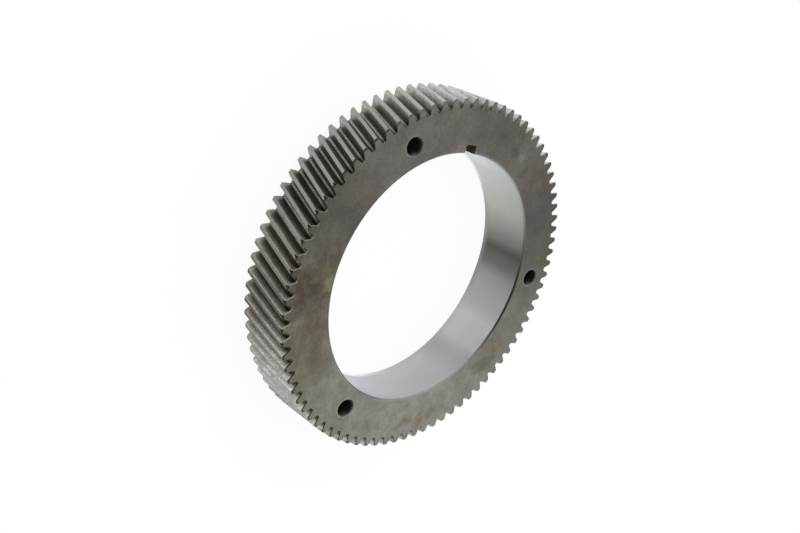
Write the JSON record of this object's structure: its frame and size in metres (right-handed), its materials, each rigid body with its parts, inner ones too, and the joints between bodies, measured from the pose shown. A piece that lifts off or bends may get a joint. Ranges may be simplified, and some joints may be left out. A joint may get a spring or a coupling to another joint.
{
  "type": "timing gear",
  "caption": "Helical toothed timing gear ring with a wide press-fit bore, through holes in its wall and a key notch in the bore.",
  "frame": {"origin": "centre of the bore at the back face, which the gear lies on", "axes": "+Z along the bore axis from the back face to the front face, +X through the middle of the key notch"},
  "size_m": [0.2232, 0.2232, 0.036],
  "materials": {
    "steel": "dark matt flat faces with faint stains, brighter tooth tips and a satin ground bore"
  },
  "bodies": {
    "root": {"timing_gear": "steel"}
  },
  "joints": []
}
